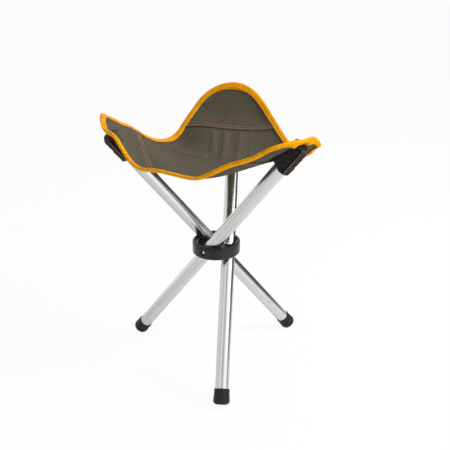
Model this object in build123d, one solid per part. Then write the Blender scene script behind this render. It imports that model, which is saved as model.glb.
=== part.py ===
from build123d import *
import math
import os

# Tripod stool: three tubes cross in a moulded hub, each turning on its own rivet, and carry a
# three-cornered cloth seat in pockets over their top ends.
# Millimetres. +Z is up, the floor is Z = 0, and the origin is under the middle of the hub.

# Tubes
tube_diameter = 22.0
tube_wall = 1.2
leg_tilt = 38.6                  # degrees from upright when open; closed, the legs stand upright
pivot_offset = 20.3              # from the hub's middle out to each tube's middle line
foot_reach = 257.0               # from the pivot down to the end of the rubber foot
top_reach = 256.0                # from the pivot up to the tube's top end
latch_hole_diameter = 2.4        # small hole in line with the pivot, near the foot
latch_hole_above_foot = 81.5     # from the foot's end
leg_names = ("rear", "left", "right")      # by where the leg's top end is
leg_bearings = (90.0, 210.0, 330.0)        # the way each leg leans

# Rubber feet
foot_rim_diameter = 24.0
foot_diameter = 26.2
foot_height = 24.0
foot_bottom = 6.0                # rubber below the tube's end
foot_round = 6.0
foot_round_facets = 3            # the sole's round is moulded in straight facets
foot_band = 2.4                  # plain band under the rim
foot_band_lip = 0.4
sole_flat = 0.7                  # how far the sole is cut flat to stand on the floor

# Top plugs
plug_dome = 2.0
plug_depth = 14.0
plug_wall = 2.0
plug_fit = 0.1

# Hub
hub_diameter = 78.8
hub_height = 21.1
hub_round = 1.4
web_recess = 3.2                 # the webs lie this far below the rim, on both faces
rim_wall = 4.2
slot_clearance = 0.4
core_inradius = 5.2              # three-sided hole in the middle, where the rivets are set
rim_line_depth = 0.6             # moulded line round the outside, under the rim
rim_line_height = 1.0
rim_line_drop = 3.4

# Rivets and washers
rivet_diameter = 5.0
rivet_head_diameter = 7.2
rivet_head_height = 2.2
rivet_tail_diameter = 6.2
rivet_tail_height = 1.4
rivet_clearance = 0.07
counterbore_diameter = 8.8
counterbore_floor = 35.8         # from the hub's middle to the floor of each rivet's recess
washer_diameter = 8.0
washer_thickness = 0.8

# Cloth seat
cloth_thickness = 1.6            # all cloth thicknesses are measured upright
binding_thickness = 2.8
binding_drop = 0.6               # the binding also stands this far below the cloth
binding_width = 8.5
seam_gap = 0.3                   # between pieces of cloth that move apart
corner_overhang = 14.8           # cloth beyond the tube's end
corner_lean = (8.6, -9.1, -12.4)          # degrees steeper than the tube, rear, left and right
corner_twist = (-2.8, 15.7, 7.4)           # degrees, each corner's roll about its middle line
corner_lift = (2.0, 9.4, 5.6)             # how far each corner's sides curl up
corner_skew = (-6.6, 6.6, -2.6)            # and how much further one side curls than the other
corner_droop = (-5.2, -7.8, 5.4)           # how far each corner's tip hangs over the tube's end
bowl_angle = 23.8                # degrees, where the bowl runs into the straight slope

# The cloth's other sizes, as shares of how far ahead the tubes' ends lie
sag_share = 0.434                # the middle of the seat hangs this far below the tubes' rims
bowl_radius_share = 1.281
panel_seam_share = 0.7255         # from the middle, flat, to each corner panel's seam
bend_middle_share = 0.816        # from the middle, flat, to the bend up into the corner
bend_radius_share = 0.532
corner_round_share = 0.4485
edge_reach_share = 0.827         # from the middle, flat, to the middle of each edge
lift_half_width_share = 0.497
twist_start_share = 0.345
twist_end_share = 0.859
droop_start_share = 1.025
droop_length_share = 0.248
tent_round = 24.0                # the tube's end lifts the cloth in a soft tent
tent_softness = 14.0
tent_slope_share = 0.9
tube_to_cloth = 1.2

# Pockets under the corners
pocket_wall = 1.2
pocket_clearance = 0.3
pocket_depth = 56.0              # from the tube's end down to the pocket's mouth
pocket_end_space = 6.0           # beyond the tube's end
pocket_half_width = 16.5         # at the cloth
pocket_end_chamfer = 4.0
seam_fin_height = 4.2            # the pocket's sewn seam, standing out below the tube
seam_fin_thickness = 1.2
tape_wall = 0.8
tape_height = 4.4

overrun = 5.0                    # past a face, for every cut
surface_tolerance = 0.8
grid_steps = 40
surface_margin = 16.0            # the surface reaches this far past the cut
grid_width_share = 1.27          # the surface's half width at the middle, over the edge reach
grid_taper = 0.532               # how fast it narrows towards the rear corner

# Worked out from the above
tube_radius = tube_diameter / 2
hub_radius = hub_diameter / 2
foot_radius = foot_diameter / 2
tilt = math.radians(leg_tilt)
lowest_point = ((foot_reach - foot_round) * math.cos(tilt)
                + (foot_radius - foot_round) * math.sin(tilt) + foot_round)
pivot_height = lowest_point - sole_flat
tube_bottom = -(foot_reach - foot_bottom)
slot_radius = tube_radius + slot_clearance
top_ahead = math.hypot(pivot_offset, top_reach * math.sin(tilt))
corner_turn = math.degrees(math.atan2(pivot_offset, top_reach * math.sin(tilt)))
corner_bearings = [bearing - corner_turn for bearing in leg_bearings]
rim_height = pivot_height + top_reach * math.cos(tilt) + tube_radius * math.sin(tilt)
seat_height = rim_height - sag_share * top_ahead
bowl_radius = bowl_radius_share * top_ahead
panel_seam = panel_seam_share * top_ahead
bend_middle = bend_middle_share * top_ahead
bend_radius = bend_radius_share * top_ahead
corner_round = corner_round_share * top_ahead
edge_reach = edge_reach_share * top_ahead
lift_half_width = lift_half_width_share * top_ahead
twist_start = twist_start_share * top_ahead
twist_end = twist_end_share * top_ahead
droop_start = droop_start_share * top_ahead
droop_length = droop_length_share * top_ahead
pocket_mouth_reach = top_reach - pocket_depth
pocket_end_reach = top_reach + pocket_end_space


def leg_frame(number):
    """The pivot of one leg: X along the rivet, outwards, and Z up the tube."""
    bearing = math.radians(leg_bearings[number])
    ahead = Vector(math.cos(bearing), math.sin(bearing), 0)
    out = Vector(math.sin(bearing), -math.cos(bearing), 0)
    up_tube = ahead * math.sin(tilt) + Vector(0, 0, 1) * math.cos(tilt)
    pivot = out * pivot_offset + Vector(0, 0, pivot_height)
    return Plane(origin=pivot, x_dir=out, z_dir=up_tube)


def hub_frame(number):
    """The same pivot with Z upright, as the leg stands when it is closed."""
    bearing = math.radians(leg_bearings[number])
    out = Vector(math.sin(bearing), -math.cos(bearing), 0)
    return Plane(origin=Vector(0, 0, pivot_height), x_dir=out, z_dir=(0, 0, 1))


def rod(radius, low, high):
    """A round bar along Z."""
    return Pos(0, 0, low) * Cylinder(radius, high - low, align=(Align.CENTER, Align.CENTER, Align.MIN))


def cross_rod(radius, low, high):
    """A round bar along X."""
    return Rot(0, 90, 0) * rod(radius, low, high)


# The cloth's shape
def clamp(value, low, high):
    return max(low, min(high, value))


def ease(share):
    share = clamp(share, 0, 1)
    return share * share * (3 - 2 * share)


def corner_line(flat, lean):
    """How far ahead and how high a corner's middle line has come, after this much flat cloth."""
    slope = math.radians(bowl_angle)
    steep = math.pi / 2 - tilt + math.radians(lean)
    bowl_length = bowl_radius * slope
    bend_length = bend_radius * (steep - slope)
    bend_start = bend_middle - bend_length / 2
    turned = clamp(flat, 0, bowl_length) / bowl_radius
    ahead = bowl_radius * math.sin(turned) + min(flat, 0)
    rise = bowl_radius * (1 - math.cos(turned))
    straight = clamp(flat - bowl_length, 0, bend_start - bowl_length)
    turned = slope + clamp(flat - bend_start, 0, bend_length) / bend_radius
    beyond = max(flat - bend_start - bend_length, 0)
    ahead += straight * math.cos(slope) + bend_radius * (math.sin(turned) - math.sin(slope))
    rise += straight * math.sin(slope) + bend_radius * (math.cos(slope) - math.cos(turned))
    return ahead + beyond * math.cos(steep), rise + beyond * math.sin(steep)


def flat_distance(ahead):
    """The flat cloth that reaches this far ahead over the tube, past the bend."""
    steep = math.pi / 2 - tilt
    bend_end = bend_middle + bend_radius * (steep - math.radians(bowl_angle)) / 2
    return bend_end + (ahead - corner_line(bend_end, 0)[0]) / math.cos(steep)


corner_reach = flat_distance(top_ahead) + corner_overhang


def tent_height(x, y, number):
    """Height of the soft tent that one tube's end makes in the cloth."""
    bearing = math.radians(leg_bearings[number])
    along = x * math.cos(bearing) + y * math.sin(bearing)
    across = x * math.sin(bearing) - y * math.cos(bearing) - pivot_offset
    last = (top_reach + plug_dome) * math.sin(tilt) - tube_radius * math.cos(tilt)
    held = min(along, last)
    clear = (tube_radius + tube_to_cloth) / math.sin(tilt)
    fall = math.hypot(math.hypot(along - held, across), tent_round) - tent_round
    return pivot_height + held / math.tan(tilt) + clear - fall * tent_slope_share


def cloth_point(flat_x, flat_y):
    """Where a point of the flat cut lies in the hanging seat."""
    x, y, z = flat_x, flat_y, seat_height
    for number, bearing in enumerate(corner_bearings):
        cosine, sine = math.cos(math.radians(bearing)), math.sin(math.radians(bearing))
        flat = flat_x * cosine + flat_y * sine
        side = flat_y * cosine - flat_x * sine
        ahead, rise = corner_line(flat, corner_lean[number])
        x += (ahead - flat) * cosine
        y += (ahead - flat) * sine
        share = ease((flat - twist_start) / (twist_end - twist_start))
        across = side / lift_half_width
        curl = corner_lift[number] * across ** 2 + corner_skew[number] * across ** 3
        z += rise + share * (curl - side * math.tan(math.radians(corner_twist[number])))
        z -= corner_droop[number] * (max(flat - droop_start, 0) / droop_length) ** 2
    for number in range(len(leg_names)):
        tent = tent_height(x, y, number)
        z = (z + tent + math.hypot(z - tent, tent_softness)) / 2
    return Vector(x, y, z)


def cloth_face(lift):
    """The seat's lower surface, moved up by this much, a little larger all round than the cut."""
    length = edge_reach + corner_reach + 2 * surface_margin
    rows = []
    for i in range(grid_steps + 1):
        ahead = length * i / grid_steps - edge_reach - surface_margin
        half_width = grid_width_share * edge_reach - grid_taper * ahead
        row = []
        for j in range(grid_steps + 1):
            side = half_width * (2 * j / grid_steps - 1)
            flat = Vector(ahead, side).rotate(Axis.Z, corner_bearings[0])
            row.append(cloth_point(flat.X, flat.Y) + Vector(0, 0, lift))
        rows.append(row)
    return Face.make_surface_from_array_of_points(rows, tol=surface_tolerance, min_deg=3, max_deg=3)


def sheet(low, high):
    """The seat's surface as a sheet between these two lifts."""
    return extrude(cloth_face(low), high - low, dir=(0, 0, 1))


def flat_outline(inset):
    """Points round one corner of the flat cut, from edge middle to edge middle, corner along X."""
    reach, edge, radius = corner_reach - inset, edge_reach - inset, corner_round - inset
    middle = reach - radius
    third = math.pi / 3
    far = (middle ** 2 - (edge - radius) ** 2) / (middle + 2 * radius - 2 * edge)
    edge_radius = far - edge
    hollow = Vector(far * math.cos(third), far * math.sin(third))
    joint = math.atan2(hollow.Y, hollow.X - middle)
    start = math.atan2(-hollow.Y, middle - hollow.X)
    half = []
    for share in (1, 2 / 3, 1 / 3, 0):
        turned = start + (third - math.pi - start) * share
        half.append(Vector(hollow.X + edge_radius * math.cos(turned),
                           hollow.Y + edge_radius * math.sin(turned)))
    for share in (2 / 3, 1 / 3):
        half.append(Vector(middle + radius * math.cos(joint * share), radius * math.sin(joint * share)))
    mirrored = [Vector(point.X, -point.Y) for point in half]
    return mirrored + [Vector(reach, 0)] + half[:0:-1]


def cutter(inset):
    """The cut's outline as seen from above, as an upright block."""
    points = []
    for bearing in corner_bearings:
        for point in flat_outline(inset):
            turned = point.rotate(Axis.Z, bearing)
            points.append(cloth_point(turned.X, turned.Y))
    outline = Spline([Vector(point.X, point.Y) for point in points], periodic=True)
    return extrude(Pos(0, 0, seat_height - hub_diameter) * make_face(outline), rim_height)


def beyond_seam(number, gap):
    """Everything further out than one corner panel's seam."""
    ahead = corner_line(panel_seam, corner_lean[number])[0] + gap
    size = 2 * corner_reach
    block = Box(size, size, size, align=(Align.MIN, Align.CENTER, Align.CENTER))
    return Pos(0, 0, seat_height) * Rot(0, 0, corner_bearings[number]) * Pos(ahead, 0, 0) * block


def make_seat():
    """The middle panel, the corner panels and the binding round the edge."""
    thin = sheet(0, cloth_thickness) & cutter(binding_width)
    middle = thin
    corners = []
    narrow = sheet(0, cloth_thickness) & cutter(binding_width + seam_gap)
    for number in range(len(leg_names)):
        middle -= beyond_seam(number, 0)
        corners.append(narrow & beyond_seam(number, seam_gap))
    binding = sheet(-binding_drop, binding_thickness - binding_drop) & (cutter(0) - cutter(binding_width))
    return middle, corners, binding


# The pieces of a leg, each in the leg's own frame
def make_tube():
    tube = rod(tube_radius, tube_bottom, top_reach)
    tube -= rod(tube_radius - tube_wall, tube_bottom - overrun, top_reach + overrun)
    tube -= cross_rod(rivet_diameter / 2 + rivet_clearance, -tube_diameter, tube_diameter)
    hole = cross_rod(latch_hole_diameter / 2, -tube_diameter, 0)
    return tube - Pos(0, 0, latch_hole_above_foot - foot_reach) * hole


def make_foot():
    """A rubber cap with a band at its rim, flaring to a rounded end."""
    rim = -(foot_reach - foot_height)
    waist = -(foot_reach - foot_round)
    rim_radius = foot_rim_diameter / 2
    points = [(0, rim), (rim_radius + foot_band_lip, rim), (rim_radius + foot_band_lip, rim - foot_band),
              (rim_radius, rim - foot_band)]
    for number in range(foot_round_facets + 1):
        turned = math.pi / 2 * number / foot_round_facets
        points.append((foot_radius - foot_round * (1 - math.cos(turned)),
                       waist - foot_round * math.sin(turned)))
    points.append((0, -foot_reach))
    foot = revolve(Plane.XZ * make_face(Polyline(points, close=True)), Axis.Z)
    return foot - rod(tube_radius, tube_bottom, rim + overrun)


def make_plug():
    """A plug with a low domed head, hollow inside the tube."""
    shank = tube_radius - tube_wall - plug_fit
    plug = rod(tube_radius, top_reach, top_reach + plug_dome)
    plug = chamfer(plug.edges().group_by(Axis.Z)[-1], plug_dome / 2)
    plug += rod(shank, top_reach - plug_depth, top_reach)
    return plug - rod(shank - plug_wall, top_reach - plug_depth - overrun, top_reach - plug_wall)


def pocket_section(grow):
    """The sleeve's section: round below the tube and widening up to the cloth."""
    radius = tube_radius + pocket_clearance + grow
    width = pocket_half_width - pocket_wall + grow
    top = -(2 * tube_diameter)
    side = Polygon((radius, 0), (-radius, 0), (-width, -tube_diameter), (-width, top), (width, top),
                   (width, -tube_diameter), align=None)
    return Circle(radius) + side


def make_pocket(under_cloth):
    """A fabric sleeve, open to the cloth it is sewn under, with a shut end and a seam below."""
    length = pocket_end_reach - pocket_mouth_reach
    outer = extrude(pocket_section(pocket_wall), length)
    end_edges = [edge for edge in outer.edges().group_by(Axis.Z)[-1]
                 if edge.center().Y > -tube_diameter]
    outer = chamfer(end_edges, pocket_end_chamfer)
    inner = Pos(0, 0, -overrun) * extrude(pocket_section(0), length + overrun - pocket_wall)
    inner_end = [edge for edge in inner.edges().group_by(Axis.Z)[-1]
                 if edge.center().Y > -tube_diameter]
    inner = chamfer(inner_end, pocket_end_chamfer - pocket_wall / 2)
    fin_top = tube_radius + pocket_clearance + pocket_wall / 2
    fin = Pos(0, fin_top, 0) * Box(seam_fin_thickness, pocket_wall / 2 + seam_fin_height,
                                   length - 2 * pocket_end_chamfer,
                                   align=(Align.CENTER, Align.MIN, Align.MIN))
    pocket = Pos(0, 0, pocket_mouth_reach) * (outer - inner + fin)
    return pocket & under_cloth


def make_tape():
    """The tape folded over the pocket's seam."""
    edge = tube_radius + pocket_clearance + pocket_wall + seam_fin_height
    length = pocket_end_reach - pocket_mouth_reach - 2 * pocket_end_chamfer
    outer_width = seam_fin_thickness + 2 * tape_wall
    outer = Box(outer_width, tape_height, length, align=(Align.CENTER, Align.MAX, Align.MIN))
    inner = Box(seam_fin_thickness, tape_height, length, align=(Align.CENTER, Align.MAX, Align.MIN))
    tape = Pos(0, edge + tape_wall, pocket_mouth_reach) * (outer - Pos(0, -tape_wall, 0) * inner)
    return tape - rod(tube_radius + pocket_clearance + pocket_wall, pocket_mouth_reach - overrun,
                      pocket_end_reach)


# The hub and what holds the legs in it, each in the hub's frame
def make_rivet():
    """A domed head in its recess, a shank through the tube and a set tail in the core."""
    head = cross_rod(rivet_head_diameter / 2, counterbore_floor, counterbore_floor + rivet_head_height)
    head = chamfer(head.edges().group_by(Axis.X)[-1], rivet_head_height / 2, rivet_head_height)
    tail_start = core_inradius - washer_thickness
    shank = cross_rod(rivet_diameter / 2, tail_start - rivet_tail_height / 2, counterbore_floor)
    tail = cross_rod(rivet_tail_diameter / 2, tail_start - rivet_tail_height, tail_start)
    tail = chamfer(tail.edges().group_by(Axis.X)[0], rivet_tail_height / 3)
    return head + shank + tail


def make_washer():
    washer = cross_rod(washer_diameter / 2, core_inradius - washer_thickness, core_inradius)
    return washer - cross_rod(rivet_diameter / 2, 0, hub_radius)


def leg_slot():
    """All the room one tube takes as it turns from closed to open, in the hub's frame."""
    half = hub_height / 2 + overrun
    upright = rod(slot_radius, -half, half)
    reach = half / math.cos(tilt) + slot_radius
    leaning = Rot(-leg_tilt, 0, 0) * rod(slot_radius, -reach, reach)
    ahead = half * math.tan(tilt)
    wedge = Polygon((0, 0), (ahead, half), (0, half), align=None)
    wedge += Polygon((0, 0), (-ahead, -half), (0, -half), align=None)
    wedge = extrude(Plane.YZ * wedge, slot_radius, both=True)
    return Pos(pivot_offset, 0, 0) * (upright + leaning + wedge)


def make_hub():
    """A moulded ring with webs, a slot for each tube, rivet recesses and an open core."""
    hub = Cylinder(hub_radius, hub_height)
    hub = chamfer(hub.edges().filter_by(GeomType.CIRCLE), hub_round)
    recess = Cylinder(hub_radius - rim_wall, web_recess, align=(Align.CENTER, Align.CENTER, Align.MAX))
    hub -= Pos(0, 0, hub_height / 2) * recess
    hub -= Pos(0, 0, web_recess - hub_height / 2) * recess
    line_height = hub_height / 2 - rim_line_drop
    line = Cylinder(hub_radius + overrun, rim_line_height)
    line -= Cylinder(hub_radius - rim_line_depth, rim_line_height)
    hub -= Pos(0, 0, line_height) * line
    hub -= extrude(RegularPolygon(core_inradius, 3, major_radius=False, rotation=60), hub_height, both=True)
    hub = Pos(0, 0, pivot_height) * hub
    for number in range(len(leg_names)):
        place = hub_frame(number).location
        hub -= place * leg_slot()
        hub -= place * cross_rod(rivet_diameter / 2, 0, hub_radius)
        hub -= place * cross_rod(counterbore_diameter / 2, counterbore_floor, hub_radius + overrun)
    return hub


def main():
    os.makedirs("parts", exist_ok=True)
    pieces = {"pivot_hub": make_hub()}
    middle, corners, binding = make_seat()
    pieces["seat_panel"] = middle
    pieces["edge_binding"] = binding
    under = extrude(cloth_face(-binding_drop - seam_gap), rim_height, dir=(0, 0, -1))
    floor_block = Pos(0, 0, -overrun) * Cylinder(top_reach * 2, overrun,
                                                 align=(Align.CENTER, Align.CENTER, Align.MIN))
    tube, foot, plug, tape = make_tube(), make_foot(), make_plug(), make_tape()
    rivet, washer = make_rivet(), make_washer()
    for number, name in enumerate(leg_names):
        leg, upright = leg_frame(number).location, hub_frame(number).location
        pieces["leg_tube_" + name] = leg * tube
        pieces["foot_" + name] = leg * foot - floor_block
        pieces["tube_plug_" + name] = leg * plug
        pieces["pivot_rivet_" + name] = upright * rivet
        pieces["rivet_washer_" + name] = upright * washer
        pieces["corner_panel_" + name] = corners[number]
        pieces["pocket_" + name] = leg * make_pocket(leg.inverse() * under)
        pieces["pocket_tape_" + name] = leg * tape
    for name, piece in pieces.items():
        piece.label = name
        export_step(piece, "parts/" + name + ".step")


main()
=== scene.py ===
import math

import bpy
import numpy as np
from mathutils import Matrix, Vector


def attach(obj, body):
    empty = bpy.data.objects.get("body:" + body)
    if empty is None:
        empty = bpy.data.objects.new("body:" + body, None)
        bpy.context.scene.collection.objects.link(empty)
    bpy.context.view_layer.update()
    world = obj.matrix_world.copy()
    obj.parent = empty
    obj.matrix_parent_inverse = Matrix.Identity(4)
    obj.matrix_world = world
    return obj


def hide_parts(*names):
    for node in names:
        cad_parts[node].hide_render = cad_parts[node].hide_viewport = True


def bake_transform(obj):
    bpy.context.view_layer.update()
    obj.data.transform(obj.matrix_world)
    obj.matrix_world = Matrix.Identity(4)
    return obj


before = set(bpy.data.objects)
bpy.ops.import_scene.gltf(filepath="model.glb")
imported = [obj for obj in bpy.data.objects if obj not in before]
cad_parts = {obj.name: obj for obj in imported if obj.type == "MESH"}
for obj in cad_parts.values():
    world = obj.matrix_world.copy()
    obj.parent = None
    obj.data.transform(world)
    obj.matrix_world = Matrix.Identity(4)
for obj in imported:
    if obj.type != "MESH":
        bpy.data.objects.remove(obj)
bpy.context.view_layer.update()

# Sizes are in metres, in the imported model's frame. Angles are in degrees until they are turned to radians
legs = {
    "names": ("rear", "left", "right"),
    "bearings": (90.0, 210.0, 330.0),
    "tilt": math.radians(38.6),
    "pivotOffset": 0.0203,
    "pivotHeight": 0.20589,
    "topReach": 0.256,
    "topSpare": 0.002,
    "tubeRadius": 0.011,
}
legs["topAhead"] = legs["topReach"] * math.sin(legs["tilt"])
cornerTurn = math.degrees(math.atan2(legs["pivotOffset"], legs["topAhead"]))
cornerBearings = [bearing - cornerTurn for bearing in legs["bearings"]]


# Small helpers for new pieces
def deselectAll():
    bpy.ops.object.select_all(action="DESELECT")


def choose(piece):
    deselectAll()
    piece.select_set(True)
    bpy.context.view_layer.objects.active = piece


def addGrid(name, across, along):
    deselectAll()
    bpy.ops.mesh.primitive_grid_add(x_subdivisions=across, y_subdivisions=along, size=1)
    piece = bpy.context.object
    piece.name = name
    piece.data.name = name
    return piece


def gridShares(piece):
    places = np.empty(len(piece.data.vertices) * 3)
    piece.data.vertices.foreach_get("co", places)
    places = places.reshape(-1, 3)
    return places[:, 0] + 0.5, places[:, 1] + 0.5


def placeVertices(piece, places):
    piece.data.vertices.foreach_set("co", np.ascontiguousarray(places, dtype=np.float64).ravel())
    piece.data.update()


def setFlatUv(piece, flat):
    layer = piece.data.uv_layers[0]
    corners = np.empty(len(piece.data.loops), dtype=np.int32)
    piece.data.loops.foreach_get("vertex_index", corners)
    layer.data.foreach_set("uv", flat[corners].ravel())


def smooth(piece):
    piece.data.polygons.foreach_set("use_smooth", [True] * len(piece.data.polygons))


def applyModifier(piece, kind, **settings):
    choose(piece)
    modifier = piece.modifiers.new(kind.title(), kind)
    for key, value in settings.items():
        setattr(modifier, key, value)
    bpy.ops.object.modifier_apply(modifier=modifier.name)


def setMaterial(piece, material):
    piece.data.materials.clear()
    piece.data.materials.append(material)


def partEnding(number, side):
    return legs["names"][number] + ("_a" if side > 0 else "_b")


def runLengths(places):
    return np.concatenate(([0], np.cumsum(np.linalg.norm(np.diff(places, axis=0), axis=1))))


def directions(vectors):
    return vectors / np.linalg.norm(vectors, axis=1)[:, None]


# A leg's middle, and the directions across it, under it and along it
def legFrame(number):
    bearing = math.radians(legs["bearings"][number])
    ahead = np.array((math.cos(bearing), math.sin(bearing), 0))
    across = np.array((math.sin(bearing), -math.cos(bearing), 0))
    upward = np.array((0, 0, 1))
    under = ahead * math.cos(legs["tilt"]) - upward * math.sin(legs["tilt"])
    along = ahead * math.sin(legs["tilt"]) + upward * math.cos(legs["tilt"])
    middle = across * legs["pivotOffset"] + upward * legs["pivotHeight"]
    return middle, across, under, along


# Camera, as the photograph was taken
shot = {
    "place": (0.09055, -1.0493, 0.6735),
    "aim": (0.01446, 0.00125, 0.24185),
    "lens": 55.29,
    "sensor": 36,
    "pixels": 900,
}


def turnTo(place, aim):
    return (Vector(aim) - Vector(place)).to_track_quat("-Z", "Y").to_euler()


deselectAll()
bpy.ops.object.camera_add(location=shot["place"])
camera = bpy.context.object
camera.data.lens = shot["lens"]
camera.data.sensor_width = shot["sensor"]
camera.rotation_euler = turnTo(shot["place"], shot["aim"])
scene = bpy.context.scene
scene.camera = camera
scene.view_settings.view_transform = "Standard"
scene.render.resolution_x = shot["pixels"]
scene.render.resolution_y = shot["pixels"]
print("camera set")


# Shader helpers
def newMaterial(name):
    material = bpy.data.materials.new(name)
    material.use_nodes = True
    nodes = material.node_tree.nodes
    return material, nodes, material.node_tree.links, nodes["Principled BSDF"]


def setSockets(node, **values):
    for key, value in values.items():
        node.inputs[key.replace("_", " ")].default_value = value


def grey(shade):
    return shade, shade, shade, 1


def feed(links, socket, value):
    if isinstance(value, bpy.types.NodeSocket):
        links.new(value, socket)
    else:
        socket.default_value = value


# The helpers from here on add one node and join it up. All but addBump hand back what comes out of it
def addMath(nodes, links, operation, *values):
    node = nodes.new("ShaderNodeMath")
    node.operation = operation
    for socket, value in zip(node.inputs, values):
        feed(links, socket, value)
    return node.outputs["Value"]


def addNoise(nodes, links, place, scale, detail=3.0):
    noise = nodes.new("ShaderNodeTexNoise")
    setSockets(noise, Scale=scale, Detail=detail)
    links.new(place, noise.inputs["Vector"])
    return noise.outputs["Fac"]


def addRamp(nodes, links, factor, ends, lowColor, highColor):
    ramp = nodes.new("ShaderNodeValToRGB")
    elements = ramp.color_ramp.elements
    elements[0].position, elements[1].position = ends
    elements[0].color = lowColor
    elements[1].color = highColor
    links.new(factor, ramp.inputs["Fac"])
    return ramp.outputs["Color"]


# A colour mix takes its share at socket 0 and its colours at 6 and 7, and gives its colour at 2
def addColorMix(nodes, links, share, first, second, blend="MIX"):
    mix = nodes.new("ShaderNodeMix")
    mix.data_type = "RGBA"
    mix.blend_type = blend
    for socket, value in ((0, share), (6, first), (7, second)):
        feed(links, mix.inputs[socket], value)
    return mix.outputs[2]


def addShaderMix(nodes, links, share, first, second):
    mix = nodes.new("ShaderNodeMixShader")
    for socket, value in enumerate((share, first, second)):
        links.new(value, mix.inputs[socket])
    return mix.outputs["Shader"]


def addBump(nodes, links, surface, height, strength, distance):
    bump = nodes.new("ShaderNodeBump")
    setSockets(bump, Strength=strength, Distance=distance)
    links.new(height, bump.inputs["Height"])
    links.new(bump.outputs["Normal"], surface.inputs["Normal"])


# Aluminium, with fine streaks along the tube
tubeMetal = {
    "color": (0.68, 0.675, 0.67, 1),
    "streaks": 900.0,
    "streakShape": (1, 1, 0.02),
    "streakEnds": (0.3, 0.75),
    "smoothest": 0.17,
    "roughest": 0.31,
    "bump": 0.08,
    "bumpDepth": 0.0003,
}


def makeTubeMetal(name, number):
    material, nodes, links, surface = newMaterial(name)
    setSockets(surface, Base_Color=tubeMetal["color"], Metallic=1.0)
    along = Vector(legFrame(number)[3])
    turn = nodes.new("ShaderNodeMapping")
    turn.inputs["Rotation"].default_value = along.rotation_difference(Vector((0, 0, 1))).to_euler()
    links.new(nodes.new("ShaderNodeTexCoord").outputs["Object"], turn.inputs["Vector"])
    stretch = nodes.new("ShaderNodeMapping")
    setSockets(stretch, Scale=tubeMetal["streakShape"])
    links.new(turn.outputs["Vector"], stretch.inputs["Vector"])
    streaks = addNoise(nodes, links, stretch.outputs["Vector"], tubeMetal["streaks"])
    smoothest, roughest = grey(tubeMetal["smoothest"]), grey(tubeMetal["roughest"])
    rough = addRamp(nodes, links, streaks, tubeMetal["streakEnds"], smoothest, roughest)
    links.new(rough, surface.inputs["Roughness"])
    addBump(nodes, links, surface, streaks, tubeMetal["bump"], tubeMetal["bumpDepth"])
    return material


# Plastic, rubber, steel and thread, with a fine grain
plain = {"grainEnds": (0.3, 0.8), "bump": 0.3}


def makePlain(name, color, lighter, roughness, grain, depth, shine=0.5, metallic=0.0):
    material, nodes, links, surface = newMaterial(name)
    fine = addNoise(nodes, links, nodes.new("ShaderNodeTexCoord").outputs["Object"], grain)
    shade = addRamp(nodes, links, fine, plain["grainEnds"], (*color, 1), (*lighter, 1))
    links.new(shade, surface.inputs["Base Color"])
    setSockets(surface, Roughness=roughness, Specular_IOR_Level=shine, Metallic=metallic)
    addBump(nodes, links, surface, fine, plain["bump"], depth)
    return material


# Woven cloth, its threads laid out on the flat cut, with random lighter and darker patches
weave = {
    "distortion": 0.6,
    "bandLength": math.pi / 10,
    "mottle": 260.0,
    "threadEnds": (0.1, 0.62),
    "patchDetail": 4.0,
    "patchEnds": (0.3, 0.7),
    "bump": 0.5,
}


def makeWeave(name, dark, light, pitch, depth, roughness, shine, patches=60.0, patchDepth=0.3):
    material, nodes, links, surface = newMaterial(name)
    flat = nodes.new("ShaderNodeTexCoord").outputs["UV"]
    waves = []
    for direction in ("X", "Y"):
        wave = nodes.new("ShaderNodeTexWave")
        wave.wave_type = "BANDS"
        wave.bands_direction = direction
        setSockets(wave, Scale=weave["bandLength"] / pitch, Distortion=weave["distortion"], Detail=1.0)
        links.new(flat, wave.inputs["Vector"])
        waves.append(wave.outputs["Fac"])
    threads = addMath(nodes, links, "MAXIMUM", *waves)
    mottle = addNoise(nodes, links, flat, weave["mottle"])
    mixed = addMath(nodes, links, "MULTIPLY", threads, mottle)
    color = addRamp(nodes, links, mixed, weave["threadEnds"], (*dark, 1), (*light, 1))
    # Random lighter and darker patches, multiplied over the threads' colour
    patchNoise = addNoise(nodes, links, flat, patches, weave["patchDetail"])
    shade = addRamp(nodes, links, patchNoise, weave["patchEnds"], grey(1 - patchDepth), grey(1 + patchDepth))
    links.new(addColorMix(nodes, links, 1.0, color, shade, "MULTIPLY"), surface.inputs["Base Color"])
    setSockets(surface, Roughness=roughness, Specular_IOR_Level=shine)
    addBump(nodes, links, surface, threads, weave["bump"], depth)
    return material


hubPlastic = makePlain(
    "hubPlastic", color=(0.004, 0.004, 0.0045), lighter=(0.016, 0.016, 0.017),
    roughness=0.26, grain=620.0, depth=0.0004, shine=0.4)
footRubber = makePlain(
    "footRubber", color=(0.003, 0.003, 0.003), lighter=(0.018, 0.018, 0.018),
    roughness=0.5, grain=520.0, depth=0.0004, shine=0.3)
rivetSteel = makePlain(
    "rivetSteel", color=(0.55, 0.55, 0.56), lighter=(0.7, 0.7, 0.7),
    roughness=0.28, grain=1200.0, depth=0.0001, metallic=1.0)
threadOrange = makePlain(
    "threadOrange", color=(0.9, 0.5, 0.1), lighter=(1.0, 0.7, 0.25),
    roughness=0.7, grain=2500.0, depth=0.0003)
threadLight = makePlain(
    "threadLight", color=(0.42, 0.36, 0.29), lighter=(0.62, 0.55, 0.46),
    roughness=0.7, grain=2500.0, depth=0.0003)
threadTan = makePlain(
    "threadTan", color=(0.50, 0.27, 0.12), lighter=(0.75, 0.46, 0.24),
    roughness=0.7, grain=2500.0, depth=0.0003)
clothWeave = makeWeave(
    "clothWeave", dark=(0.058, 0.052, 0.036), light=(0.134, 0.118, 0.082),
    pitch=0.0011, depth=0.0002, roughness=0.85, shine=0.15, patches=420.0, patchDepth=0.22)
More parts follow.
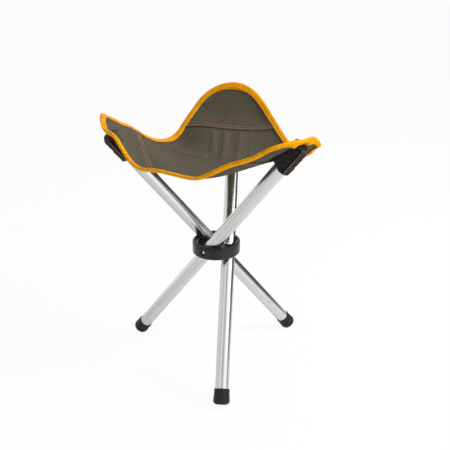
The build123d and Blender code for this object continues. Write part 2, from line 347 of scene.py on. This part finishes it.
bindingWeave = makeWeave(
    "bindingWeave", dark=(0.72, 0.215, 0.0), light=(1.0, 0.475, 0.001),
    pitch=0.0012, depth=0.0002, roughness=0.75, shine=0.05, patches=90.0, patchDepth=0.12)
pocketWeave = makeWeave(
    "pocketWeave", dark=(0.003, 0.0035, 0.0035), light=(0.009, 0.010, 0.010),
    pitch=0.0009, depth=0.0002, roughness=0.36, shine=0.16)
tapeWeave = makeWeave(
    "tapeWeave", dark=(0.004, 0.003, 0.002), light=(0.10, 0.070, 0.055),
    pitch=0.0024, depth=0.0009, roughness=0.8, shine=0.15)
for number, name in enumerate(legs["names"]):
    setMaterial(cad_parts["leg_tube_" + name], makeTubeMetal("tubeMetal_" + name, number))
    setMaterial(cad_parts["foot_" + name], footRubber)
    setMaterial(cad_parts["tube_plug_" + name], hubPlastic)
    setMaterial(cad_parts["pivot_rivet_" + name], rivetSteel)
    setMaterial(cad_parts["rivet_washer_" + name], rivetSteel)
setMaterial(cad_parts["pivot_hub"], hubPlastic)
print("materials made")

# The cloth's flat cut and how it hangs. Sets of three are for the rear, the left and the right corner.
# Each corner runs from a shallow bowl over a bend to a steep end. Lean changes the end's slope, twist,
# lift and skew turn and curl it, and droop and stretch move its tip. Over a tube's end it stands as a tent
cloth = {
    "sag": 0.0699,
    "bowlRadius": 0.2062,
    "bowlAngle": math.radians(23.8),
    "bendMiddle": 0.1314,
    "bendRadius": 0.0857,
    "lean": (8.6, -9.1, -12.4),
    "twist": (-0.1, 16.5, 3.6),
    "twistStart": 0.0556,
    "twistEnd": 0.1383,
    "lift": (0.0072, 0.0084, 0.0041),
    "skew": (-0.0008, 0.0086, -0.0084),
    "liftHalfWidth": 0.08,
    "droop": (-0.0047, 0.0015, -0.0007),
    "stretch": (-0.0001, -0.0019, -0.0151),
    "droopStart": 0.165,
    "droopLength": 0.04,
    "tentRound": 0.0130,
    "tentSoftness": 0.0008,
    "tentSlope": 0.95,
    "tentAhead": 1.15,
    "clearance": 0.0003,
    "edgeReach": 0.1332,
    "cornerRound": 0.0722,
    "cornerReach": 0.2028,
    "seam": (0.1168, 0.1128, 0.1168),
    "seamTurn": (0, 0.05, 0),
    "seamHalf": 0.08,
    "seamSteps": 4001,
    "lap": 0.010,
    "foldTurn": 30,
    "foldReach": 0.112,
    "normalStep": 0.0008,
}

# Soft swells and dips in the cloth: corner, distance out, distance to the side, width and height
swells = (
    (0, 0.095, 0.084, 0.022, -0.0143), (0, 0.115, 0.066, 0.024, 0.0038),
    (0, 0.120, -0.066, 0.024, -0.0009), (0, 0.165, -0.048, 0.022, -0.0108),
    (1, 0.098, -0.080, 0.022, -0.0054), (1, 0.105, 0.072, 0.024, -0.0019),
    (1, 0.110, 0.092, 0.020, 0.0031), (1, 0.120, -0.062, 0.024, 0.0040),
    (1, 0.132, 0.080, 0.018, 0.0077), (1, 0.140, 0.060, 0.022, -0.0092),
    (1, 0.145, -0.062, 0.018, -0.0056), (1, 0.154, 0.070, 0.015, -0.0039),
    (1, 0.165, -0.045, 0.022, 0.0016), (1, 0.172, 0.048, 0.020, 0.0071),
    (1, 0.172, 0.060, 0.015, -0.0060), (1, 0.178, -0.052, 0.014, -0.0042),
    (1, 0.188, 0.040, 0.014, 0.0062), (1, 0.190, -0.034, 0.016, 0.0019),
    (1, 0.198, 0.006, 0.014, -0.0026), (2, 0.105, -0.072, 0.024, 0.0008),
    (2, 0.145, -0.058, 0.022, -0.0010), (2, 0.165, -0.052, 0.018, 0.0042),
    (2, 0.180, -0.036, 0.022, -0.0026), (2, 0.180, 0.046, 0.018, -0.0077),
    (2, 0.195, 0.000, 0.016, -0.0084), (2, 0.200, 0.010, 0.020, 0.0004),
)

# Narrow folds: corner, start and end (each a distance out and to the side), width and height
folds = (
    (1, 0.104, -0.050, 0.047, -0.0714, 0.0050, 0.0030), (1, 0.047, -0.0714, 0.008, -0.044, 0.0060, 0.0030),
    (1, 0.107, 0.021, 0.086, 0.026, 0.0035, 0.0020), (1, 0.104, 0.006, 0.080, 0.003, 0.0035, 0.0018),
    (0, 0.107, 0.027, 0.061, 0.018, 0.0050, 0.0018), (0, 0.108, 0.006, 0.040, -0.003, 0.0060, 0.0022),
    (0, 0.105, -0.021, 0.032, -0.027, 0.0060, 0.0018),
)
rimHeight = (legs["pivotHeight"] + legs["topReach"] * math.cos(legs["tilt"])
             + legs["tubeRadius"] * math.sin(legs["tilt"]))
cloth["seatHeight"] = rimHeight - cloth["sag"]


def ease(share):
    share = np.clip(share, 0, 1)
    return share * share * (3 - 2 * share)


# From a corner's own flat axes, out and to the side, to those of the whole flat cut
def turnFlat(x, y, number):
    bearing = math.radians(cornerBearings[number])
    return np.stack((x * math.cos(bearing) - y * math.sin(bearing),
                     x * math.sin(bearing) + y * math.cos(bearing)), axis=1)


# The middle line of a corner: the bowl, a straight run, the bend and the steep end
def cornerLine(flat, lean):
    slope, bowl, bend = cloth["bowlAngle"], cloth["bowlRadius"], cloth["bendRadius"]
    steep = math.pi / 2 - legs["tilt"] + math.radians(lean)
    bowlLength = bowl * slope
    bendLength = bend * (steep - slope)
    bendStart = cloth["bendMiddle"] - bendLength / 2
    turned = np.clip(flat, 0, bowlLength) / bowl
    ahead = bowl * np.sin(turned) + np.minimum(flat, 0)
    rise = bowl * (1 - np.cos(turned))
    straight = np.clip(flat - bowlLength, 0, bendStart - bowlLength)
    turned = slope + np.clip(flat - bendStart, 0, bendLength) / bend
    beyond = np.maximum(flat - bendStart - bendLength, 0)
    ahead = ahead + straight * math.cos(slope) + bend * (np.sin(turned) - math.sin(slope))
    rise = rise + straight * math.sin(slope) + bend * (math.cos(slope) - np.cos(turned))
    return ahead + beyond * math.cos(steep), rise + beyond * math.sin(steep)


# The least height of the cloth over a tube's end
def tentHeight(x, y, number):
    sine, cosine = math.sin(legs["tilt"]), math.cos(legs["tilt"])
    bearing = math.radians(legs["bearings"][number])
    along = x * math.cos(bearing) + y * math.sin(bearing)
    across = x * math.sin(bearing) - y * math.cos(bearing) - legs["pivotOffset"]
    last = legs["topAhead"] + legs["topSpare"] * sine - legs["tubeRadius"] * cosine
    held = np.minimum(along, last)
    clear = (legs["tubeRadius"] + cloth["clearance"]) / sine
    beyond = np.hypot((along - held) * cloth["tentAhead"], across)
    fall = np.hypot(beyond, cloth["tentRound"]) - cloth["tentRound"]
    return legs["pivotHeight"] + held / math.tan(legs["tilt"]) + clear - fall * cloth["tentSlope"]


# Where each place of the flat cut hangs
def clothPlace(flat):
    x = flat[:, 0].copy()
    y = flat[:, 1].copy()
    z = np.full(len(flat), cloth["seatHeight"])
    for number, bearing in enumerate(cornerBearings):
        cosine = math.cos(math.radians(bearing))
        sine = math.sin(math.radians(bearing))
        out = flat[:, 0] * cosine + flat[:, 1] * sine
        side = flat[:, 1] * cosine - flat[:, 0] * sine
        ahead, rise = cornerLine(out, cloth["lean"][number])
        flap = (np.maximum(out - cloth["droopStart"], 0) / cloth["droopLength"]) ** 2
        ahead = ahead - out + cloth["stretch"][number] * flap
        x += ahead * cosine
        y += ahead * sine
        share = ease((out - cloth["twistStart"]) / (cloth["twistEnd"] - cloth["twistStart"]))
        across = side / cloth["liftHalfWidth"]
        curl = cloth["lift"][number] * across ** 2 + cloth["skew"][number] * across ** 3
        z += rise + share * (curl - side * math.tan(math.radians(cloth["twist"][number])))
        z -= cloth["droop"][number] * flap
    for number, out, side, width, height in swells:
        middle = turnFlat(np.array([out]), np.array([side]), number)[0]
        away = ((flat - middle) ** 2).sum(axis=1)
        z += height * np.exp(-away / (2 * width ** 2))
    for number, startOut, startSide, endOut, endSide, width, height in folds:
        start, end = turnFlat(np.array((startOut, endOut)), np.array((startSide, endSide)), number)
        run = end - start
        share = np.clip((flat - start) @ run / (run @ run), 0, 1)
        away = np.linalg.norm(flat - start - share[:, None] * run, axis=1)
        z += height * np.exp(-(away / width) ** 2)
    for number in range(3):
        tent = tentHeight(x, y, number)
        z = (z + tent + np.hypot(z - tent, cloth["tentSoftness"])) / 2
    return np.stack((x, y, z), axis=1)


def clothNormal(flat):
    step = cloth["normalStep"]
    alongX = clothPlace(flat + (step, 0)) - clothPlace(flat - (step, 0))
    alongY = clothPlace(flat + (0, step)) - clothPlace(flat - (0, step))
    return directions(np.cross(alongX, alongY))


# The edge of a sixth of the flat cut, from a corner's tip (share 0) to the middle of a hollow side (share 1)
def outline(share, inset, side):
    sixth = math.pi / 3
    middle = cloth["cornerReach"] - cloth["cornerRound"]
    edge, radius = cloth["edgeReach"], cloth["cornerRound"]
    far = (middle ** 2 - (edge - radius) ** 2) / (middle + 2 * radius - 2 * edge)
    hollowX, hollowY = far * math.cos(sixth), far * math.sin(sixth)
    joint = math.atan2(hollowY, hollowX - middle)
    start = math.atan2(-hollowY, middle - hollowX)
    end = sixth - math.pi
    roundLength = radius * joint
    hollowLength = (far - edge) * abs(end - start)
    travelled = share * (roundLength + hollowLength)
    angle = np.clip(travelled / radius, 0, joint)
    roundX = middle + (radius - inset) * np.cos(angle)
    roundY = (radius - inset) * np.sin(angle)
    turned = start + (end - start) * np.clip((travelled - roundLength) / hollowLength, 0, 1)
    hollowRadius = far - edge + inset
    onRound = travelled < roundLength
    x = np.where(onRound, roundX, hollowX + hollowRadius * np.cos(turned))
    y = np.where(onRound, roundY, hollowY + hollowRadius * np.sin(turned))
    return x, y * side


# Where a cross seam, or a row beside it, starts on the middle line and ends on the edge
def seamEnd(number, side, inset, beyond):
    reach = cloth["seam"][number] + beyond
    slanted = reach + cloth["seamTurn"][number] * side * cloth["seamHalf"]
    shares = np.linspace(0, 1, cloth["seamSteps"])
    share = shares[np.argmin(np.abs(outline(shares, inset, 1)[0] - slanted))]
    x, y = outline(share, inset, side)
    return reach, share, float(x), float(y)


# A patch between four edges, each a function of its share
def blendPatch(u, v, low, high, left, right):
    points = []
    for axis in range(2):
        starts, ends = (low(0)[axis], low(1)[axis]), (high(0)[axis], high(1)[axis])
        mixed = ((1 - u) * (1 - v) * starts[0] + u * (1 - v) * starts[1]
                 + (1 - u) * v * ends[0] + u * v * ends[1])
        points.append((1 - v) * low(u)[axis] + v * high(u)[axis]
                      + (1 - u) * left(v)[axis] + u * right(v)[axis] - mixed)
    return points


def line(first, second):
    return lambda share: [a + (b - a) * share for a, b in zip(first, second)]


def edgeLine(first, last, inset, side):
    return lambda share: outline(first + (last - first) * share, inset, side)


def followFold(piece):
    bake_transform(piece)


def finishSheet(piece, flat, lift):
    placeVertices(piece, clothPlace(flat) + clothNormal(flat) * lift[:, None])
    setFlatUv(piece, flat)
    smooth(piece)
    setMaterial(piece, clothWeave)
    followFold(piece)


# Binding folded over the edge. Its profile runs from over the cloth round the edge to under it:
# the distance from the edge inwards, and the height over the cloth's middle
binding = {
    "width": 0.0088,
    "tuck": 0.002,
    "tipOver": 0.22,
    "tipUnder": 2.8,
    "tipLength": 0.13,
    "stepsAlong": 110,
    "flatLength": 0.19,
    "profile": (
        (0.0090, 0.0010), (0.0090, 0.0015), (0.0085, 0.0019), (0.0060, 0.0022), (0.0030, 0.0023),
        (0.0008, 0.0018), (-0.0001, 0.0008), (-0.0003, -0.0003), (0.0001, -0.0014), (0.0010, -0.0023),
        (0.0030, -0.0027), (0.0060, -0.0026), (0.0085, -0.0023), (0.0090, -0.0018), (0.0090, -0.0010),
    ),
}

# Sheets of cloth, which end inside the binding. A corner sheet's hem lies on the seat sheet
sheets = {
    "inset": binding["width"] - binding["tuck"],
    "seatSteps": (56, 36),
    "cornerSteps": (44, 40),
    "closeSteps": 0.1,
    "cornerSplit": 0.42,
    "hem": 0.0011,
    "hemRise": 0.0010,
    "hemFlat": 0.002,
    "hemFade": 0.015,
    "hemFall": 0.5,
    "ridge": 0.0012,
    "ridgeMiddle": 0.0014,
    "ridgeWidth": 0.0012,
}


def makeSeatPart(number, side):
    inset = sheets["inset"]
    lapEnd, topShare, endX, endY = seamEnd(number, side, inset, cloth["lap"])
    piece = addGrid("seat_" + partEnding(number, side), *sheets["seatSteps"])
    u, v = gridShares(piece)
    low = line((0, 0), (lapEnd, 0))
    high = edgeLine(1, topShare, inset, side)
    left = line((0, 0), outline(1, inset, side))
    right = line((lapEnd, 0), (endX, endY))
    x, y = blendPatch(u, v, low, high, left, right)
    finishSheet(piece, turnFlat(x, y, number), np.zeros(len(x)))
    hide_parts("seat_panel")


def makeCornerPart(number, side):
    inset = sheets["inset"]
    seam, topShare, startX, startY = seamEnd(number, side, inset, 0)
    piece = addGrid("corner_" + partEnding(number, side), *sheets["cornerSteps"])
    u, v = gridShares(piece)
    u = np.where(u < sheets["closeSteps"], u * u / sheets["closeSteps"], u)
    split = topShare * sheets["cornerSplit"]
    low = line((seam, 0), (cloth["cornerReach"] - inset, 0))
    high = edgeLine(topShare, split, inset, side)
    left = line((seam, 0), (startX, startY))
    right = edgeLine(0, split, inset, side)
    x, y = blendPatch(u, v, low, high, left, right)
    past = x - seam - y * (startX - seam) / startY
    fade = ease((past - cloth["lap"] - sheets["hemFlat"]) / sheets["hemFade"])
    lift = sheets["hem"] * ease(past / sheets["hemRise"]) * (1 - sheets["hemFall"] * fade)
    lift += sheets["ridge"] * np.exp(-((past - sheets["ridgeMiddle"]) / sheets["ridgeWidth"]) ** 2)
    finishSheet(piece, turnFlat(x, y, number), lift)
    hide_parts("corner_panel_" + legs["names"][number])


def makeBindingPart(number, side):
    profile = np.array(binding["profile"])
    piece = addGrid("binding_" + partEnding(number, side), binding["stepsAlong"], len(profile) - 1)
    u, v = gridShares(piece)
    rows = np.rint(v * (len(profile) - 1)).astype(int)
    inset, rise = profile[rows, 0], profile[rows, 1]
    broader = np.where(rise < 0, binding["tipUnder"], binding["tipOver"])
    inset = inset * (1 + broader * np.exp(-(u / binding["tipLength"]) ** 2))
    flat = turnFlat(*outline(u, inset, side), number)
    placeVertices(piece, clothPlace(flat) + clothNormal(flat) * rise[:, None])
    setFlatUv(piece, np.stack((u * binding["flatLength"], runLengths(profile)[rows]), axis=1))
    applyModifier(piece, "SUBSURF", levels=1)
    if side < 0:
        choose(piece)
        bpy.ops.object.mode_set(mode="EDIT")
        bpy.ops.mesh.select_all(action="SELECT")
        bpy.ops.mesh.flip_normals()
        bpy.ops.object.mode_set(mode="OBJECT")
    smooth(piece)
    setMaterial(piece, bindingWeave)
    followFold(piece)
    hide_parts("edge_binding")


for number in range(3):
    for side in (1, -1):
        makeSeatPart(number, side)
        makeCornerPart(number, side)
        makeBindingPart(number, side)
print("cloth made")

# Sewing thread, which goes over and under the cloth
stitching = {
    "pitch": 0.0038,
    "radius": 0.0004,
    "rise": 0.0009,
    "stepsPerStitch": 8,
    "stepsAround": 6,
    "step": 0.001,
    "waveSteepness": 1.6,
    "waveOffset": 0.75,
    "waveMiddle": 0.55,
    "rows": (("first", 0.0036), ("second", 0.0084)),
    "rowSteps": 60,
    "rowInset": binding["width"] - 0.001,
    "rowLift": 0.0012,
    "edgeSteps": 400,
    "edgeInset": 0.0072,
    "edgeLift": 0.0024,
}


def layThread(name, places, normals, lift, material):
    lengths = runLengths(places)
    count = int(lengths[-1] / stitching["pitch"])
    piece = addGrid(name, count * stitching["stepsPerStitch"], stitching["stepsAround"])
    u, v = gridShares(piece)
    travelled = u * lengths[-1]

    def along(values, step=0.0):
        return np.stack([np.interp(travelled + step, lengths, values[:, axis]) for axis in range(3)], axis=1)

    normal = directions(along(normals))
    forward = directions(along(places, stitching["step"]) - along(places, -stitching["step"]))
    across = np.cross(normal, forward)
    wave = np.cos(2 * math.pi * u * count) * stitching["waveSteepness"] + stitching["waveOffset"]
    height = lift + stitching["rise"] * (np.clip(wave, -1, 1) - stitching["waveMiddle"])
    turned = 2 * math.pi * v
    points = along(places) + normal * (height + stitching["radius"] * np.cos(turned))[:, None]
    points += across * (stitching["radius"] * np.sin(turned))[:, None]
    placeVertices(piece, points)
    smooth(piece)
    setMaterial(piece, material)
    return piece


def makeStitches(name, x, y, lift, material, number):
    flat = turnFlat(x, y, number)
    piece = layThread(name, clothPlace(flat), clothNormal(flat), lift, material)
    followFold(piece)


for number in range(3):
    for side in (1, -1):
        ending = partEnding(number, side)
        for row, beyond in stitching["rows"]:
            reach, share, endX, endY = seamEnd(number, side, stitching["rowInset"], beyond)
            x = np.linspace(reach, endX, stitching["rowSteps"])
            y = np.linspace(0, endY, stitching["rowSteps"])
            name = "stitches_" + row + "_" + ending
            makeStitches(name, x, y, stitching["rowLift"], threadTan, number)
        x, y = outline(np.linspace(0, 1, stitching["edgeSteps"]), stitching["edgeInset"], side)
        makeStitches("stitches_edge_" + ending, x, y, stitching["edgeLift"], threadOrange, number)
print("stitches made")

# Pockets of strong dark cloth under the corners, each sewn along its under edge. Half of the section is
# given, across and under the tube's middle. The mouth and the end slope, and the end closes to a round
pocket = {
    "steps": (44, 52),
    "flatSize": (0.06, 0.08),
    "mouthReach": (0.2085, 0.2160, 0.2085),
    "mouthSlope": 0.65,
    "mouthFrom": 0.004,
    "endReach": (0.2640, 0.2650, 0.2615),
    "endSlope": 0.35,
    "endFrom": -0.006,
    "endRound": 0.012,
    "endPower": 2.6,
    "endAcross": 0.06,
    "endUnder": 0.30,
    "endMiddle": -0.004,
    "half": (
        (-0.0235, -0.026), (-0.0200, -0.012), (-0.0158, -0.004), (-0.0131, 0.002), (-0.0102, 0.0080),
        (-0.0052, 0.0120), (-0.0008, 0.0142),
    ),
    "tubeRoom": 0.0123,
    "leastSpread": 0.001,
    "wrinkle": 0.0007,
    "wrinkleAcross": 0.012,
    "wrinkleUnder": 0.5,
    "ripples": ((520, 9, 1), (120, 17, 2), (260, -23, 3)),
    "thirdRipple": 0.6,
    "wall": 0.0012,
    "clear": 0.0017,
    "searches": 14,
}


# The cloth's height over each place, found step by step
def clothAbove(places):
    flat = places[:, :2].copy()
    for _ in range(pocket["searches"]):
        flat += places[:, :2] - clothPlace(flat)[:, :2]
    return clothPlace(flat)[:, 2]


# Distances across, under and along the tube, at a share along and a share around the pocket
def pocketShape(number, u, v, out):
    half = np.array(pocket["half"])
    section = np.concatenate((half, half[::-1] * (-1, 1)))
    around = runLengths(section)
    around /= around[-1]
    across = np.interp(v, around, section[:, 0])
    under = np.interp(v, around, section[:, 1])
    larger = 1 + out / np.hypot(across, under)
    across = across * larger
    under = under * larger
    mouth = pocket["mouthReach"][number] + pocket["mouthSlope"] * np.maximum(pocket["mouthFrom"] - under, 0)
    end = pocket["endReach"][number] - pocket["endSlope"] * np.maximum(pocket["endFrom"] - under, 0)
    reach = mouth + (end + out - mouth) * u
    toEnd = np.clip((reach - end + pocket["endRound"]) / pocket["endRound"], 0, 1)
    shrink = np.sqrt(np.maximum(1 - toEnd ** pocket["endPower"], 0))
    across = across * (pocket["endAcross"] + (1 - pocket["endAcross"]) * shrink)
    shrunk = pocket["endUnder"] + (1 - pocket["endUnder"]) * shrink
    under = pocket["endMiddle"] + (under - pocket["endMiddle"]) * shrunk
    ripples = [np.sin(reach * perReach + v * perTurn + number * shift)
               for perReach, perTurn, shift in pocket["ripples"]]
    push = pocket["wrinkle"] * (ripples[0] * ripples[1] + pocket["thirdRipple"] * ripples[2])
    across = across * (1 + push / pocket["wrinkleAcross"])
    under = under + push * pocket["wrinkleUnder"]
    overTube = reach < legs["topReach"] + legs["topSpare"]
    held = np.maximum(pocket["tubeRoom"] + out - np.hypot(across, under), 0) * overTube
    wider = 1 + held / np.maximum(np.hypot(across, under), pocket["leastSpread"])
    return across * wider, under * wider, reach


def placePocket(number, u, v, out):
    across, under, reach = pocketShape(number, u, v, out)
    middle, sideways, below, along = legFrame(number)
    places = middle + across[:, None] * sideways + under[:, None] * below + reach[:, None] * along
    places[:, 2] = np.minimum(places[:, 2], clothAbove(places) - pocket["clear"])
    return places


def makePocket(number):
    name = legs["names"][number]
    piece = addGrid("sleeve_" + name, *pocket["steps"])
    u, v = gridShares(piece)
    placeVertices(piece, placePocket(number, u, v, 0.0))
    setFlatUv(piece, np.stack((u, v), axis=1) * pocket["flatSize"])
    applyModifier(piece, "SOLIDIFY", thickness=pocket["wall"], offset=-1.0)
    smooth(piece)
    setMaterial(piece, pocketWeave)
    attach(piece, "leg_" + name)
    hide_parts("pocket_" + name)


# Ribbed tape over a pocket's seam, with a row of stitches near each edge
tape = {
    "steps": (60, 18),
    "flatSize": (0.055, 0.02),
    "wide": 0.118,
    "end": 0.93,
    "lift": 0.0007,
    "wall": 0.0007,
    "threadSteps": 80,
    "threadSpare": 0.01,
    "threadInset": 0.016,
}


def makeTape(number):
    name = legs["names"][number]
    piece = addGrid("ribbedTape_" + name, *tape["steps"])
    u, v = gridShares(piece)
    around = 0.5 + (v - 0.5) * 2 * tape["wide"]
    placeVertices(piece, placePocket(number, tape["end"] * u, around, tape["lift"]))
    setFlatUv(piece, np.stack((u, v), axis=1) * tape["flatSize"])
    applyModifier(piece, "SOLIDIFY", thickness=tape["wall"], offset=1.0)
    smooth(piece)
    setMaterial(piece, tapeWeave)
    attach(piece, "leg_" + name)
    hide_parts("pocket_tape_" + name)


def makeTapeThread(number, side):
    name = legs["names"][number]
    share = np.linspace(tape["threadSpare"], tape["end"] - tape["threadSpare"], tape["threadSteps"])
    around = np.full(len(share), 0.5 + side * (tape["wide"] - tape["threadInset"]))
    height = tape["lift"] + tape["wall"]
    places = placePocket(number, share, around, height)
    normals = directions(placePocket(number, share, around, height + stitching["step"]) - places)
    piece = layThread("tapeThread_" + partEnding(number, side), places, normals, 0.0, threadLight)
    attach(piece, "leg_" + name)


for number in range(3):
    makePocket(number)
    makeTape(number)
    makeTapeThread(number, 1)
    makeTapeThread(number, -1)
print("pockets made")

# Surround. What shines mirrors light and dark sides, given by their bearing, all else gets an even grey,
# and the camera sees white
studio = {
    "towards": (
        (-180, 0.95), (-130, 1.00), (-104, 0.95), (-60, 0.72), (-42, 1.15), (-20, 0.85), (-8, 0.54),
        (6, 0.48), (22, 0.90), (40, 1.35), (70, 1.30), (84, 0.60), (97, 0.06), (146, 0.06), (160, 0.60),
        (180, 0.95),
    ),
    "even": 0.56,
}


def makeWorld():
    world = bpy.data.worlds.new("studio")
    world.use_nodes = True
    nodes, links = world.node_tree.nodes, world.node_tree.links
    parts = nodes.new("ShaderNodeSeparateXYZ")
    links.new(nodes.new("ShaderNodeTexCoord").outputs["Generated"], parts.inputs["Vector"])
    backwards = addMath(nodes, links, "MULTIPLY", parts.outputs["Y"], -1.0)
    turned = addMath(nodes, links, "ARCTAN2", parts.outputs["X"], backwards)
    spread = nodes.new("ShaderNodeMapRange")
    setSockets(spread, From_Min=-math.pi, From_Max=math.pi)
    links.new(turned, spread.inputs["Value"])
    screens = nodes.new("ShaderNodeValToRGB")
    elements = screens.color_ramp.elements
    screens.color_ramp.interpolation = "EASE"
    while len(elements) < len(studio["towards"]):
        elements.new(0.5)
    for element, (bearing, bright) in zip(elements, studio["towards"]):
        element.position = (bearing + 180) / 360
        element.color = grey(bright)
    links.new(spread.outputs["Result"], screens.inputs["Fac"])
    path = nodes.new("ShaderNodeLightPath").outputs
    sides = screens.outputs["Color"]
    mirrored = addColorMix(nodes, links, path["Is Glossy Ray"], grey(studio["even"]), sides)
    seen = addColorMix(nodes, links, path["Is Camera Ray"], mirrored, grey(1.0))
    links.new(seen, nodes["Background"].inputs["Color"])
    return world


# Floor, bright to the camera, and clear in reflections from some way off
ground = {
    "size": 24.0,
    "drop": 0.0004,
    "shade": 0.9,
    "roughness": 0.9,
    "glow": 0.93,
    "mirrorGlow": 0.3,
    "fadeStart": 0.35,
    "fadeEnd": 0.9,
}


def makeFloorWhite():
    material, nodes, links, surface = newMaterial("floorWhite")
    setSockets(surface, Base_Color=grey(ground["shade"]), Roughness=ground["roughness"])
    setSockets(surface, Specular_IOR_Level=0.0)
    glow = nodes.new("ShaderNodeEmission").outputs["Emission"]
    path = nodes.new("ShaderNodeLightPath").outputs
    mirrored = addMath(nodes, links, "MULTIPLY", path["Is Glossy Ray"], ground["mirrorGlow"])
    share = addMath(nodes, links, "MULTIPLY_ADD", path["Is Camera Ray"], ground["glow"], mirrored)
    lit = addShaderMix(nodes, links, share, surface.outputs["BSDF"], glow)
    reach = nodes.new("ShaderNodeVectorMath")
    reach.operation = "LENGTH"
    links.new(nodes.new("ShaderNodeTexCoord").outputs["Object"], reach.inputs[0])
    fade = nodes.new("ShaderNodeMapRange")
    setSockets(fade, From_Min=ground["fadeStart"], From_Max=ground["fadeEnd"])
    links.new(reach.outputs["Value"], fade.inputs["Value"])
    away = addMath(nodes, links, "MULTIPLY", fade.outputs["Result"], path["Is Glossy Ray"])
    clear = nodes.new("ShaderNodeBsdfTransparent").outputs["BSDF"]
    faded = addShaderMix(nodes, links, away, lit, clear)
    links.new(faded, nodes["Material Output"].inputs["Surface"])
    return material


scene.world = makeWorld()
deselectAll()
bpy.ops.mesh.primitive_plane_add(size=ground["size"], location=(0, 0, -ground["drop"]))
floor = bpy.context.object
floor.name = "floor"
setMaterial(floor, makeFloorWhite())

# Two lights at one place: one is never mirrored, the other is only seen mirrored in what shines
lamps = {
    "place": (1.2, -0.05, 1.1),
    "aim": (0, 0, 0.35),
    "keySize": 0.6,
    "keyPower": 20,
    "glintSize": 1.0,
    "glintPower": 9,
}


def addLight(name, size, power, mirrored):
    deselectAll()
    bpy.ops.object.light_add(type="AREA", location=lamps["place"])
    light = bpy.context.object
    light.name = name
    light.data.size = size
    light.data.energy = power
    light.visible_glossy = mirrored
    light.visible_diffuse = not mirrored
    light.rotation_euler = turnTo(lamps["place"], lamps["aim"])


addLight("keyLight", lamps["keySize"], lamps["keyPower"], False)
addLight("keyGlint", lamps["glintSize"], lamps["glintPower"], True)
print("lights set")
